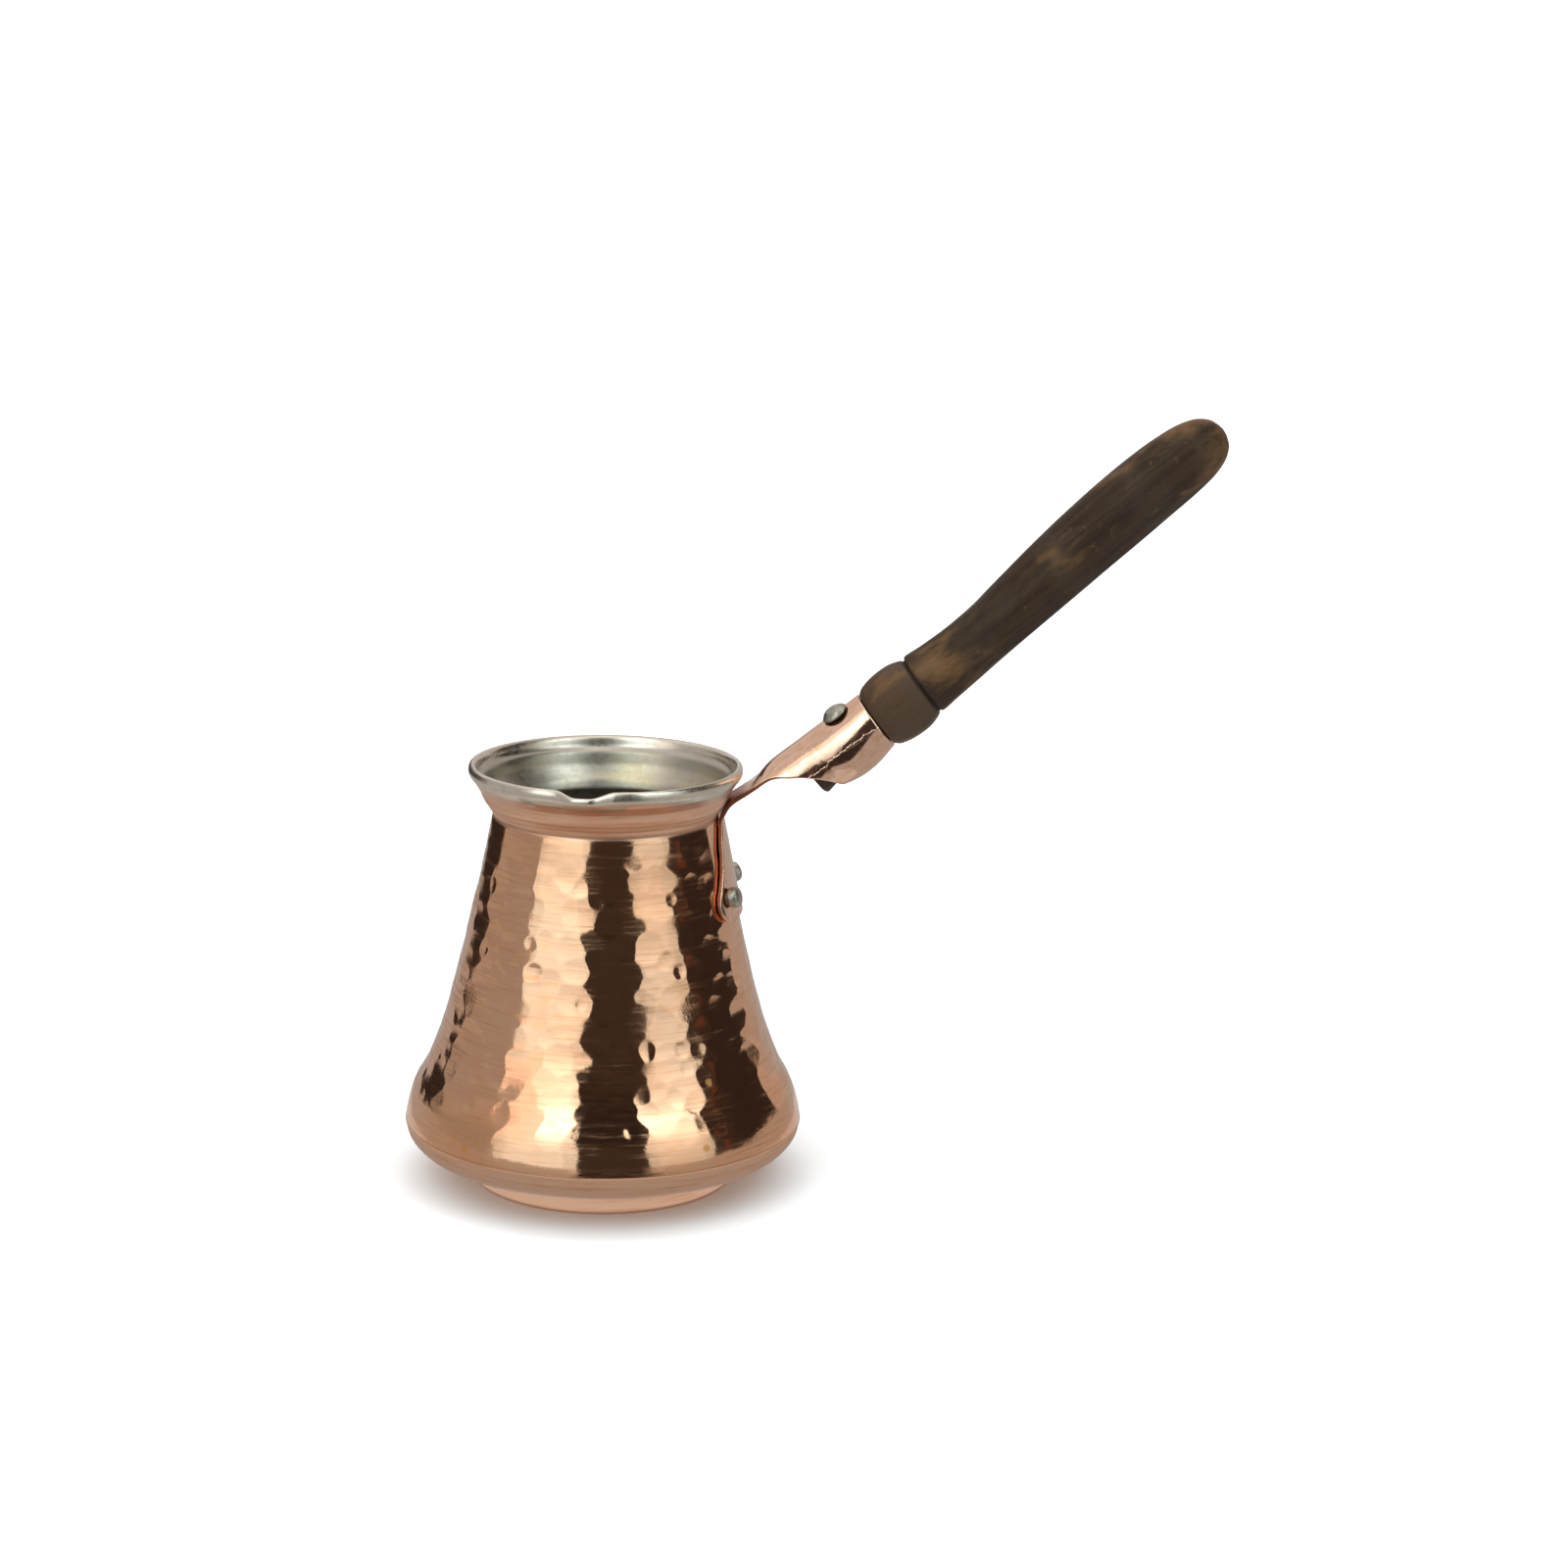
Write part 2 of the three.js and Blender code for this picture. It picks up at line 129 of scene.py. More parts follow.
def curve(points, step, corners=(), measure=None):
    """A smooth line through the points, with a kink at the corners, cut into short steps."""
    p = np.array(points, float)
    q = p[:, :measure] if measure else p
    chord = np.maximum(np.linalg.norm(np.diff(q, axis=0), axis=1), 1e-6)
    knot = np.concatenate([[0], np.cumsum(np.sqrt(chord))])
    slope = np.diff(p, axis=0) / np.diff(knot)[:, None]
    rows = []
    for i in range(len(p) - 1):
        h = knot[i + 1] - knot[i]

        def tangent(k):
            if k == 0 or k == len(p) - 1 or k in corners:
                return slope[i]
            before, after = knot[k] - knot[k - 1], knot[k + 1] - knot[k]
            return (slope[k - 1] * after + slope[k] * before) / (before + after)

        m0, m1 = tangent(i) * h, tangent(i + 1) * h
        for t in np.linspace(0, 1, max(int(math.ceil(chord[i] / step)), 1), endpoint=False):
            rows.append(
                (2 * t**3 - 3 * t**2 + 1) * p[i] + (t**3 - 2 * t**2 + t) * m0
                + (3 * t**2 - 2 * t**3) * p[i + 1] + (t**3 - t**2) * m1
            )
    rows.append(p[-1])
    return np.array(rows)


def inset(profile, distance):
    """The profile moved towards the inside of the pot."""
    p = np.array(profile, float)
    out = []
    for i, here in enumerate(p):
        a = here - p[max(i - 1, 0)]
        b = p[min(i + 1, len(p) - 1)] - here
        a = b if not a.any() else a
        b = a if not b.any() else b
        a, b = a / np.linalg.norm(a), b / np.linalg.norm(b)
        middle = np.array([-a[1] - b[1], a[0] + b[0]])
        middle /= np.linalg.norm(middle)
        out.append(here + middle * distance / max(middle @ np.array([-a[1], a[0]]), 0.6))
    return out


def make_piece(name, node, slot, verts, faces, material, **layers):
    """A shaded mesh piece from points in millimetres, standing for a CAD node."""
    mesh = bpy.data.meshes.new(name)
    mesh.from_pydata((np.asarray(verts) * MM).tolist(), [], faces)
    for layer, values in layers.items():
        attribute = mesh.attributes.new(layer, "FLOAT", "POINT")
        attribute.data.foreach_set("value", np.asarray(values, np.float32).ravel())
    mesh.validate()
    mesh.shade_smooth()
    piece = bpy.data.objects.new(name, mesh)
    bpy.context.scene.collection.objects.link(piece)
    mesh.materials.append(material)
    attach(piece, "root")
    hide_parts(node)
    return piece


def bridge_rings(count, columns):
    """Quads between neighbouring rings of a grid of points."""
    faces = []
    for i in range(count - 1):
        a, b = i * columns, (i + 1) * columns
        for j in range(columns):
            k = (j + 1) % columns
            faces.append((a + j, a + k, b + k, b + j))
    return faces


def fan(ring, pole, flip):
    """Triangles from a ring of point numbers to one point."""
    pairs = zip(ring, ring[1:] + ring[:1])
    return [(b, a, pole) if flip else (a, b, pole) for a, b in pairs]


def turned(profile, columns, relief=None):
    """Points of a profile turned about Z, with the pouring lip and the relief pressed into it."""
    turn = np.radians(LIP_AT) + np.arange(columns) * (2 * math.pi / columns)
    r = np.repeat(profile[:, :1], columns, axis=1)
    z = np.repeat(profile[:, 1:2], columns, axis=1)
    if relief is not None:
        depth = relief(profile, turn)
        run = np.gradient(profile, axis=0)
        run /= np.maximum(np.linalg.norm(run, axis=1, keepdims=True), 1e-9)
        r = r - depth * run[:, 1:2]
        z = z + depth * run[:, :1]
    away = (np.degrees(turn) - LIP_AT + 180) % 360 - 180
    across = 1 - smooth(np.abs(away), LIP_FLAT, LIP_WIDTH)
    shoulder = np.exp(-(((np.abs(away) - 1.25 * LIP_WIDTH) / 4.5) ** 2))
    up = smooth(z, HEIGHT - LIP_DEPTH, HEIGHT)
    r = r + (LIP_OUT * across - 0.35 * shoulder) * up
    z = z - LIP_DIP * across * up * up
    return np.stack([r * np.cos(turn), r * np.sin(turn), z], axis=-1)


# ------------------------------------------------------------------ hammer marks
outer_points = [*FOOT_ROUND, *SHELL[1:]]
outer = curve(outer_points, 0.5, corners={outer_points.index(CREASE), outer_points.index(NECK)})
wall_run = np.concatenate([[0], np.cumsum(np.linalg.norm(np.diff(outer, axis=0), axis=1))])


def run_at(z):
    """Distance up the wall at a height."""
    return np.interp(z, outer[:, 1], wall_run)


def hammer_marks():
    """Angle, distance up the wall, half length, half height, tilt and depth of each mark."""
    marks = []
    for run in np.arange(run_at(MARKS_FROM), run_at(MARKS_TO), ROW_PITCH):
        radius = np.interp(run, wall_run, outer[:, 0])
        count = int(round(2 * math.pi * radius / MARK_PITCH))
        shift = rng.random()
        for k in range(count):
            angle = 2 * math.pi * (k + shift + rng.normal(0, 0.2)) / count
            size = rng.uniform(0.8, 1.3)
            marks.append((
                angle, run + rng.normal(0, 2.0), MARK_LENGTH * size * rng.uniform(0.85, 1.15),
                MARK_HEIGHT * size, rng.normal(0, 0.5), rng.uniform(0.08, 0.25) * size,
            ))
        # a few deeper round blows
        for _ in range(count // MARKS_PER_DEEP_BLOW):
            marks.append((
                rng.uniform(0, 2 * math.pi), run + rng.uniform(-2.4, 2.4),
                rng.uniform(2.4, 3.4), rng.uniform(2.4, 3.4), rng.normal(0, 0.5),
                rng.uniform(0.22, 0.34),
            ))
    return marks


MARKS = hammer_marks()
SWELLS = [(rng.integers(2, 7), rng.uniform(0, 6.28), rng.uniform(0.02, 0.12)) for _ in range(7)]


def hammered(profile, turn, share=1.0):
    """How far the wall is beaten in at each point of a turned profile."""
    z = profile[:, 1]
    run = run_at(z)
    depth = np.zeros((len(profile), len(turn)))
    columns = len(turn)
    pitch = 2 * math.pi / columns
    for angle, at, long, tall, tilt, deep in MARKS:
        reach = max(long, tall)
        rows = np.nonzero(np.abs(run - at) < reach)[0]
        if not len(rows):
            continue
        radius = np.interp(at, wall_run, outer[:, 0])
        first = int(round((angle - turn[0]) / pitch))
        half = int(reach / radius / pitch) + 1
        near = np.arange(first - half, first + half + 1)
        u = ((turn[0] + near * pitch) - angle) * radius
        v = (run[rows] - at)[:, None]
        c, s = math.cos(tilt), math.sin(tilt)
        q = ((u * c + v * s) / long) ** 2 + ((v * c - u * s) / tall) ** 2
        block = np.ix_(rows, near % columns)
        depth[block] = np.maximum(depth[block], deep * (1 - q))
    swell = sum(0.035 * np.sin(n * turn + start + z[:, None] * tall) for n, start, tall in SWELLS)
    fade = smooth(z, MARKS_FROM, MARKS_FULL) * (1 - smooth(z, MARKS_FADE, MARKS_TO))
    # the wall is left flat under the bracket's plate
    away = np.abs((turn + math.pi) % (2 * math.pi) - math.pi)
    plate = (1 - smooth(away, 0.42, 0.62)) * smooth(z, 70.0, 75.0)[:, None]
    return share * (depth + 0.06 + swell) * fade[:, None] * (1 - 0.8 * plate)


def outer_relief(profile, turn):
    """Hammer marks and incised lines on the outside of the pot."""
    depth = hammered(profile, turn)
    z = profile[:, 1][:, None]
    # incised lines where the tool was pressed against the turning pot
    for at, half, deep in ((16.9, 0.2, 0.04), (5.4, 0.5, 0.18), (103.9, 0.3, 0.10),
                           (101.0, 0.4, 0.12), (107.6, 0.3, 0.06), (102.7, 0.25, 0.07)):
        depth = depth + deep * np.exp(-(((z - at) / half) ** 2))
    return depth


def inner_relief(profile, turn):
    """The backs of the hammer marks and turned rings on the inside of the lining."""
    z = profile[:, 1][:, None]
    depth = hammered(profile, turn, 0.6)
    inside = profile[:, 0][:, None] < np.interp(z, outer[:, 1], outer[:, 0]) - 0.6
    rings = 0.05 * np.sin(z * 2.1) * np.sin(z * 0.47 + 1.0) * smooth(z, 60, 95)
    rings = rings - 0.15 * np.exp(-(((z - 111.4) / 0.45) ** 2))
    return (depth + rings) * np.where(inside, -1, 0)


# ------------------------------------------------------------------ materials
class Surface:
    """A small helper around one material's node tree."""

    def __init__(self, name, **shader):
        self.material = bpy.data.materials.new(name)
        self.material.use_nodes = True
        self.tree = self.material.node_tree
        self.shader = self.tree.nodes["Principled BSDF"]
        for key, value in shader.items():
            self.shader.inputs[key.replace("_", " ")].default_value = value
        self.at = self.node("ShaderNodeTexCoord").outputs["Object"]

    def node(self, kind, inputs=None, **settings):
        made = self.tree.nodes.new(kind)
        for key, value in settings.items():
            setattr(made, key, value)
        for key, value in (inputs or {}).items():
            if isinstance(value, bpy.types.NodeSocket):
                self.tree.links.new(value, made.inputs[key])
            else:
                made.inputs[key].default_value = value
        return made

    def stretched(self, x, y, z, turn=(0, 0, 0)):
        mapping = self.node("ShaderNodeMapping", {"Vector": self.at, "Scale": (x, y, z),
                                                  "Rotation": turn})
        return mapping.outputs["Vector"]

    def lengthways(self, along, across):
        """Coordinates stretched along the handle."""
        mapping = self.node("ShaderNodeMapping", {
            "Vector": self.at, "Scale": (1 / along, 1 / across, 1 / across),
            "Rotation": (0, -SLOPE, 0)}, vector_type="TEXTURE")
        return mapping.outputs["Vector"]

    def noise(self, place, scale=1.0, detail=3.0, roughness=0.5, distortion=0.0):
        made = self.node("ShaderNodeTexNoise", {
            "Vector": place, "Scale": scale, "Detail": detail, "Roughness": roughness,
            "Distortion": distortion})
        return made.outputs["Fac"]

    def span(self, value, low, high, to_low=0.0, to_high=1.0):
        made = self.node("ShaderNodeMapRange", {
            "Value": value, "From Min": low, "From Max": high, "To Min": to_low,
            "To Max": to_high}, interpolation_type="SMOOTHSTEP")
        return made.outputs["Result"]

    def math(self, operation, a, b=0.0):
        made = self.node("ShaderNodeMath", {0: a, 1: b}, operation=operation)
        return made.outputs[0]

    def mix(self, factor, a, b):
        made = self.node("ShaderNodeMix", data_type="RGBA")
        # a colour mix has its factor at input 0 and its two colours at inputs 6 and 7
        for key, value in ((0, factor), (6, a), (7, b)):
            if isinstance(value, bpy.types.NodeSocket):
                self.tree.links.new(value, made.inputs[key])
            elif key:
                made.inputs[key].default_value = (*value, 1.0)
            else:
                made.inputs[key].default_value = value
        return made.outputs[2]

    def layer(self, name):
        return self.node("ShaderNodeAttribute", attribute_name=name).outputs["Fac"]

    def bump(self, value, distance, below=None):
        inputs = {"Height": value, "Distance": distance, "Strength": 1.0}
        if below:
            inputs["Normal"] = below
        return self.node("ShaderNodeBump", inputs).outputs["Normal"]

    def finish(self, colour, roughness, normal):
        for key, value in (("Base Color", colour), ("Roughness", roughness), ("Normal", normal)):
            self.tree.links.new(value, self.shader.inputs[key])
        return self.material


def copper(name, turned_lines, clean, warm, stain_and_shade_colour):
    s = Surface(name, Metallic=1.0)
    cloud = s.noise(s.at, 38.0, 4.0, 0.6)
    fleck = s.noise(s.at, 260.0, 3.0, 0.6)
    if turned_lines:
        lines = s.noise(s.stretched(45, 45, 1150), 1.0, 4.0, 0.75)
        patch = s.noise(s.stretched(40, 40, 70), 1.0, 3.0, 0.6)
    else:
        lines = s.noise(s.stretched(300, 1800, 300), 1.0, 3.0, 0.7)
        patch = s.noise(s.stretched(60, 60, 60), 1.0, 3.0, 0.6)
    scratch = s.noise(s.stretched(90, 1500, 900, (0.5, 0.3, 0.2)), 1.0, 2.0, 0.6)
    ripple = s.noise(s.at, 390.0, 4.0, 0.65, 0.4)
    stain_and_shade = s.layer("tarnish")
    worn = s.span(patch, 0.42, 0.68)
    colour = s.mix(s.span(cloud, 0.35, 0.7), clean, warm)
    colour = s.mix(s.span(fleck, 0.55, 0.8, 0.0, 0.35), colour, (0.95, 0.60, 0.40))
    satin = s.layer("satin")
    colour = s.mix(s.math("MULTIPLY", satin, 0.85), colour, (0.90, 0.56, 0.385))
    streak = s.math("MULTIPLY", s.span(lines, 0.47, 0.66), s.span(patch, 0.3, 0.7, 0.3, 0.8))
    colour = s.mix(streak, colour, (0.74, 0.36, 0.17))
    # tarnish in the pot's incised lines; on the bracket, a painted dark reflection across the
    # strap's bend and painted shade along the sheet's cut edges
    colour = s.mix(stain_and_shade, colour, stain_and_shade_colour)
    # small orange spots left by drops
    cells = s.node("ShaderNodeTexVoronoi", {"Vector": s.at, "Scale": 62.0, "Randomness": 1.0})
    pick = s.node("ShaderNodeSeparateColor", {"Color": cells.outputs["Color"]}).outputs[0]
    near = s.math("ADD", cells.outputs["Distance"], s.math("MULTIPLY", fleck, 0.09))
    spot = s.math("MULTIPLY", s.span(near, 0.085, 0.13, 1.0, 0.0), s.span(pick, 0.66, 0.72))
    colour = s.mix(s.math("MULTIPLY", spot, 0.8), colour, (0.80, 0.36, 0.08))
    rough = s.math("ADD", s.span(cloud, 0.3, 0.75, 0.05, 0.11), s.math("MULTIPLY", satin, 0.3))
    rough = s.math("ADD", rough, s.math("MULTIPLY", s.math("ADD", stain_and_shade, spot), 0.22))
    rough = s.math("ADD", rough, s.math("MULTIPLY", streak, 0.20))
    normal = s.bump(lines, 0.000006)
    normal = s.bump(fleck, 0.000016, normal)
    normal = s.bump(s.math("MULTIPLY", ripple, worn), 0.000045, normal)
    normal = s.bump(s.span(scratch, 0.66, 0.74), 0.0000025, normal)
    if not turned_lines:
        # a crease along the side of the rolled sheet
        wander = s.span(s.noise(s.at, 330.0, 3.0, 0.7), 0.2, 0.8, -0.5, 0.5)
        place = s.math("ADD", s.layer("across"), wander)
        off = s.math("ABSOLUTE", s.math("ADD", place, SCORE_ACROSS))
        normal = s.bump(s.span(off, 0.0, 0.2, 1.0, 0.0), 0.00007, normal)
    return s.finish(colour, rough, normal)


def tin(name):
    s = Surface(name, Metallic=1.0)
    cloud = s.noise(s.at, 45.0, 5.0, 0.65)
    rings = s.noise(s.stretched(50, 50, 1500), 1.0, 3.0, 0.65)
    grain = s.noise(s.at, 900.0, 3.0, 0.6)
    blot = s.noise(s.stretched(60, 60, 190), 1.0, 5.0, 0.7, 0.6)
    inside = s.layer("inside")
    dots = s.noise(s.at, 420.0, 4.0, 0.7)
    colour = s.mix(s.span(cloud, 0.3, 0.7), (0.92, 0.81, 0.69), (0.73, 0.64, 0.52))
    colour = s.mix(s.math("MULTIPLY", inside, 0.7), colour, (0.52, 0.46, 0.365))
    colour = s.mix(s.math("MULTIPLY", inside, s.span(cloud, 0.5, 0.72)), colour,
                   (0.62, 0.52, 0.32))
    colour = s.mix(s.span(dots, 0.52, 0.72, 0.0, 0.2), colour, (0.30, 0.27, 0.22))
    dark = s.math("MULTIPLY", inside, s.span(blot, 0.62, 0.68))
    colour = s.mix(s.math("MULTIPLY", dark, 0.65), colour, (0.11, 0.095, 0.07))
    colour = s.mix(s.span(rings, 0.5, 0.85, 0.0, 0.35), colour, (0.30, 0.29, 0.26))
    rough = s.math("ADD", s.span(cloud, 0.3, 0.8, 0.19, 0.34),
                   s.span(grain, 0.3, 0.8, 0.0, 0.10))
    rough = s.math("ADD", rough, s.math("MULTIPLY", dark, 0.25))
    rough = s.math("ADD", rough, s.math("MULTIPLY", inside, 0.10))
    edge = s.noise(s.stretched(150, 150, 500), 1.0, 4.0, 0.7)
    ragged = s.math("MULTIPLY", s.math("SUBTRACT", edge, 0.5), 0.25)
    bare = s.math("ADD", s.layer("bare"), ragged)
    colour = s.mix(s.span(bare, 0.42, 0.58), colour, (0.94, 0.64, 0.47))
    # painted shade inside the pot below the neck, with the same colour at half strength in a band
    # inside the flare
    colour = s.mix(s.layer("deep"), colour, (0.34, 0.315, 0.26))
    normal = s.bump(rings, 0.000016)
    normal = s.bump(dots, 0.00001, normal)
    normal = s.bump(grain, 0.000006, normal)
    return s.finish(colour, rough, normal)


def walnut(name):
    s = Surface(name, IOR=1.4, Specular_IOR_Level=0.12)
    grain = s.noise(s.lengthways(22, 420), 1.0, 5.0, 0.6, 0.6)
    pores = s.noise(s.lengthways(190, 3000), 1.0, 3.0, 0.6)
    cloud = s.noise(s.lengthways(34, 80), 1.0, 4.0, 0.6, 0.3)
    wear = s.noise(s.at, 75.0, 4.0, 0.6)
    chips = s.noise(s.at, 240.0, 4.0, 0.7)
    groove = s.layer("groove")
    colour = s.mix(s.span(grain, 0.3, 0.72), (0.040, 0.023, 0.013), (0.022, 0.013, 0.008))
    colour = s.mix(s.layer("collar"), colour, (0.080, 0.047, 0.027))
    colour = s.mix(s.span(cloud, 0.50, 0.72, 0.0, 0.85), colour, (0.150, 0.078, 0.032))
    colour = s.mix(s.span(wear, 0.35, 0.55, 0.25, 0.0), colour, (0.050, 0.038, 0.027))
    colour = s.mix(s.span(pores, 0.60, 0.72, 0.0, 0.7), colour, (0.014, 0.009, 0.006))
    colour = s.mix(s.span(chips, 0.60, 0.74, 0.0, 0.45), colour, (0.125, 0.072, 0.038))
    # painted shade in the groove between collar and grip
    colour = s.mix(groove, colour, (0.008, 0.006, 0.005))
    rough = s.math("ADD", s.span(grain, 0.3, 0.8, 0.36, 0.48), s.span(wear, 0.3, 0.8, 0.0, 0.16))
    normal = s.bump(grain, 0.00005)
    normal = s.bump(s.span(pores, 0.55, 0.75, 1.0, 0.0), 0.00004, normal)
    normal = s.bump(chips, 0.00002, normal)
    return s.finish(colour, rough, normal)


def steel(name):
    s = Surface(name, Metallic=1.0)
    cloud = s.noise(s.at, 420.0, 4.0, 0.6)
    dent = s.noise(s.at, 700.0, 2.0, 0.5)
    fine = s.noise(s.stretched(900, 5200, 5200, (0.3, 0.5, 0.2)), 1.0, 3.0, 0.6)
    edge = s.layer("tarnish")
    colour = s.mix(s.span(cloud, 0.35, 0.7), (0.55, 0.50, 0.41), (0.33, 0.30, 0.245))
    # painted shade round the foot of the head, where it sits on the sheet
    colour = s.mix(edge, colour, (0.10, 0.075, 0.055))
    rough = s.math("ADD", s.span(cloud, 0.3, 0.75, 0.32, 0.50), s.math("MULTIPLY", edge, 0.2))
    normal = s.bump(dent, 0.00028)
    normal = s.bump(fine, 0.000008, normal)
    return s.finish(colour, rough, normal)


# ------------------------------------------------------------------ the pot
def band_mask(z, low, high, soft):
    return smooth(z, low - soft, low + soft) * (1 - smooth(z, high - soft, high + soft))


def build_pot():
    base = np.array([(8.0, 0.0), (18.0, 0.0), (27.0, 0.0)])
    inside = curve(inset([(0.0, 0.0), *SHELL], WALL)[1:], 4.0)[::-1]
    crest = np.array([(36.05, 113.5), (35.5, 113.9), (34.9, 113.6)])
    floor = np.array([(18.0, inside[-1][1]), (8.0, inside[-1][1])])
    front = turned(np.vstack([base, outer]), POT_COLUMNS, outer_relief)
    back = turned(np.vstack([crest, inside, floor]), POT_COLUMNS)
    rings = np.concatenate([front, back])
    count = len(rings)
    verts = np.vstack([rings.reshape(-1, 3), [(0, 0, 0)], [(0, 0, inside[-1][1])]])
    faces = bridge_rings(count, POT_COLUMNS)
    faces += fan(list(range(POT_COLUMNS)), len(verts) - 2, True)
    faces += fan(list(range((count - 1) * POT_COLUMNS, count * POT_COLUMNS)), len(verts) - 1, False)
    z = verts[:, 2]
    # tarnish in the incised lines
    stain_and_shade = sum(much * np.exp(-(((z - at) / half) ** 2)) for at, half, much in (
        (5.4, 0.45, 0.75), (16.7, 0.25, 0.5), (101.1, 0.5, 0.45), (103.9, 0.35, 0.4),
        (102.7, 0.3, 0.3), (109.9, 0.3, 0.3)))
    satin = np.maximum(band_mask(z, -5, 16.2, 0.3), band_mask(z, 100.3, 120, 0.5))
    make_piece("pot_shell", "pot_body", "pot_copper", verts, faces,
               copper("hammered_copper", True, (0.925, 0.54, 0.34), (0.89, 0.455, 0.255),
                      (0.30, 0.12, 0.06)), tarnish=stain_and_shade, satin=satin)


def build_lining():
    inner = inset([(0.0, 0.0), *SHELL], WALL + SKIN_GAP + TIN)[1:]
    backing = inset([(0.0, 0.0), *SHELL], WALL + SKIN_GAP)[1:]
    outside = [inset(SHELL, -away)[i] for i, away in ((-5, 0.03), (-4, 0.06), (-3, 0.13),
                                                      (-2, 0.28), (-1, SKIN_GAP + TIN))]
    rim = [tuple(p) for p in outside] + [(36.4, 113.95), (35.8, HEIGHT), (35.1, 114.3)]
    under = [tuple(p) for p in inset(SHELL, -SKIN_GAP)[-3:]][::-1]
    points = [*rim, *[tuple(p) for p in inner[::-1]]]
    neck = len(points) - 1 - SHELL.index(NECK)
    face = curve(points, 0.8, corners={neck})
    floor_z = inner[0][1]
    floor = np.array([(24.0, floor_z), (12.0, floor_z)])
    hidden = curve([*[tuple(p) for p in backing], (35.6, 114.0), *under], 4.0)
    front = turned(np.vstack([face, floor]), TIN_COLUMNS, inner_relief)
    back = turned(hidden, TIN_COLUMNS)
    # the visible face runs down the inside, then the hidden one comes back up behind it
    poles = [(0, 0, floor_z), (0, 0, backing[0][1])]
    n_front, n_back = len(front), len(back)
    verts = np.vstack([front.reshape(-1, 3), back.reshape(-1, 3), poles])
    faces = bridge_rings(n_front, TIN_COLUMNS)
    shift = n_front * TIN_COLUMNS
    faces += [tuple(i + shift for i in f) for f in bridge_rings(n_back, TIN_COLUMNS)]
    ring = list(range(TIN_COLUMNS))
    last_front = [(n_front - 1) * TIN_COLUMNS + i for i in ring]
    first_back = [shift + i for i in ring]
    last_back = [shift + (n_back - 1) * TIN_COLUMNS + i for i in ring]
    faces += fan(last_front, len(verts) - 2, False)
    faces += fan(first_back, len(verts) - 1, True)
    for j in ring:
        k = (j + 1) % TIN_COLUMNS
        faces.append((last_back[j], last_back[k], k, j))
    radius = np.hypot(verts[:, 0], verts[:, 1])
    z = verts[:, 2]
    inside = 1 - smooth(z, 108, 113) * (radius > 33)
    away = (np.degrees(np.arctan2(verts[:, 1], verts[:, 0])) - LIP_AT + 180) % 360 - 180
    wiped = 110.5 - 2.1 * (1 - smooth(np.abs(away), 3.0, 15.0))
    wiped = wiped - 0.9 * np.exp(-(((away - 14.6) / 2.5) ** 2)) + 0.15 * np.sin(np.radians(away) * 5)
    outside = radius > np.interp(z, outer[:, 1], outer[:, 0]) - 0.2
    bare = (1 - smooth(z, wiped - 0.5, wiped + 0.5)) * outside
    # painted shade inside the pot below the neck, with the same colour at half strength in a band
    # inside the flare
    flared = 0.5 * band_mask(z, 107.5, 112.0, 0.8)
    deep = np.maximum(0.85 * (1 - smooth(z, 101.9, 103.1)), flared) * (1 - outside)
    make_piece("tin_coat", "tin_lining", "tin", verts, faces, tin("wiped_tin"), inside=inside,
               bare=bare, deep=deep)


# ------------------------------------------------------------------ the bracket
ALONG = Vector((math.cos(SLOPE), 0, math.sin(SLOPE)))
RISE = Vector((-math.sin(SLOPE), 0, math.cos(SLOPE)))
SIDE = Vector((0, 1, 0))


def on_handle(s, n):
    return MOUTH + ALONG * s + RISE * n


def wall_radius(z):
    rows = np.array(SHELL)
    return float(np.interp(z, rows[:, 1], rows[:, 0]))


def sheet_stations():
    """Middle point, direction the edges curl to, curvature and half width along the sheet."""
    rows = []
    for z, half, gap in PLATE:
        x = wall_radius(z) + gap - 0.2 + SHEET / 2
        rows.append((x, 0, z, 1, 0, 0, -1 / x, half))
    path = [(x, z) for x, z, _, _ in BEND]
    start = on_handle(SOCKET[0][0], MOUTH_R - SOCKET[0][1])
    path.append((start.x, start.z))
    for i, (x, z, bend, half) in enumerate(BEND):
        run = Vector((path[i + 1][0] - rows[-1][0], 0, path[i + 1][1] - rows[-1][2])).normalized()
        rows.append((x, 0, z, run.z, 0, -run.x, bend, half))
    for s, drop, radius, wrap in SOCKET:
        at = on_handle(s, MOUTH_R - drop)
        half = min(math.radians(wrap) * radius, math.pi * radius - SEAM)
        rows.append((*at, *-RISE, 1 / radius, half))
    return curve(rows, 0.55, measure=3)


def section(half):
    """Points around the cut of the sheet: distance across and depth, with rounded edges."""
    across = np.linspace(-1, 1, FACE_POINTS) * (half - SHEET_CORNER)
    arc = np.linspace(0, math.pi, EDGE_POINTS + 2)[1:-1]
    edge_v = half - SHEET_CORNER + SHEET_CORNER * np.sin(arc)
    edge_d = SHEET / 2 * np.cos(arc)
    face_d = np.full(FACE_POINTS, SHEET / 2)
    v = np.concatenate([across, edge_v, across[::-1], -edge_v])
    d = np.concatenate([face_d, edge_d, -face_d, -edge_d])
    return v, d


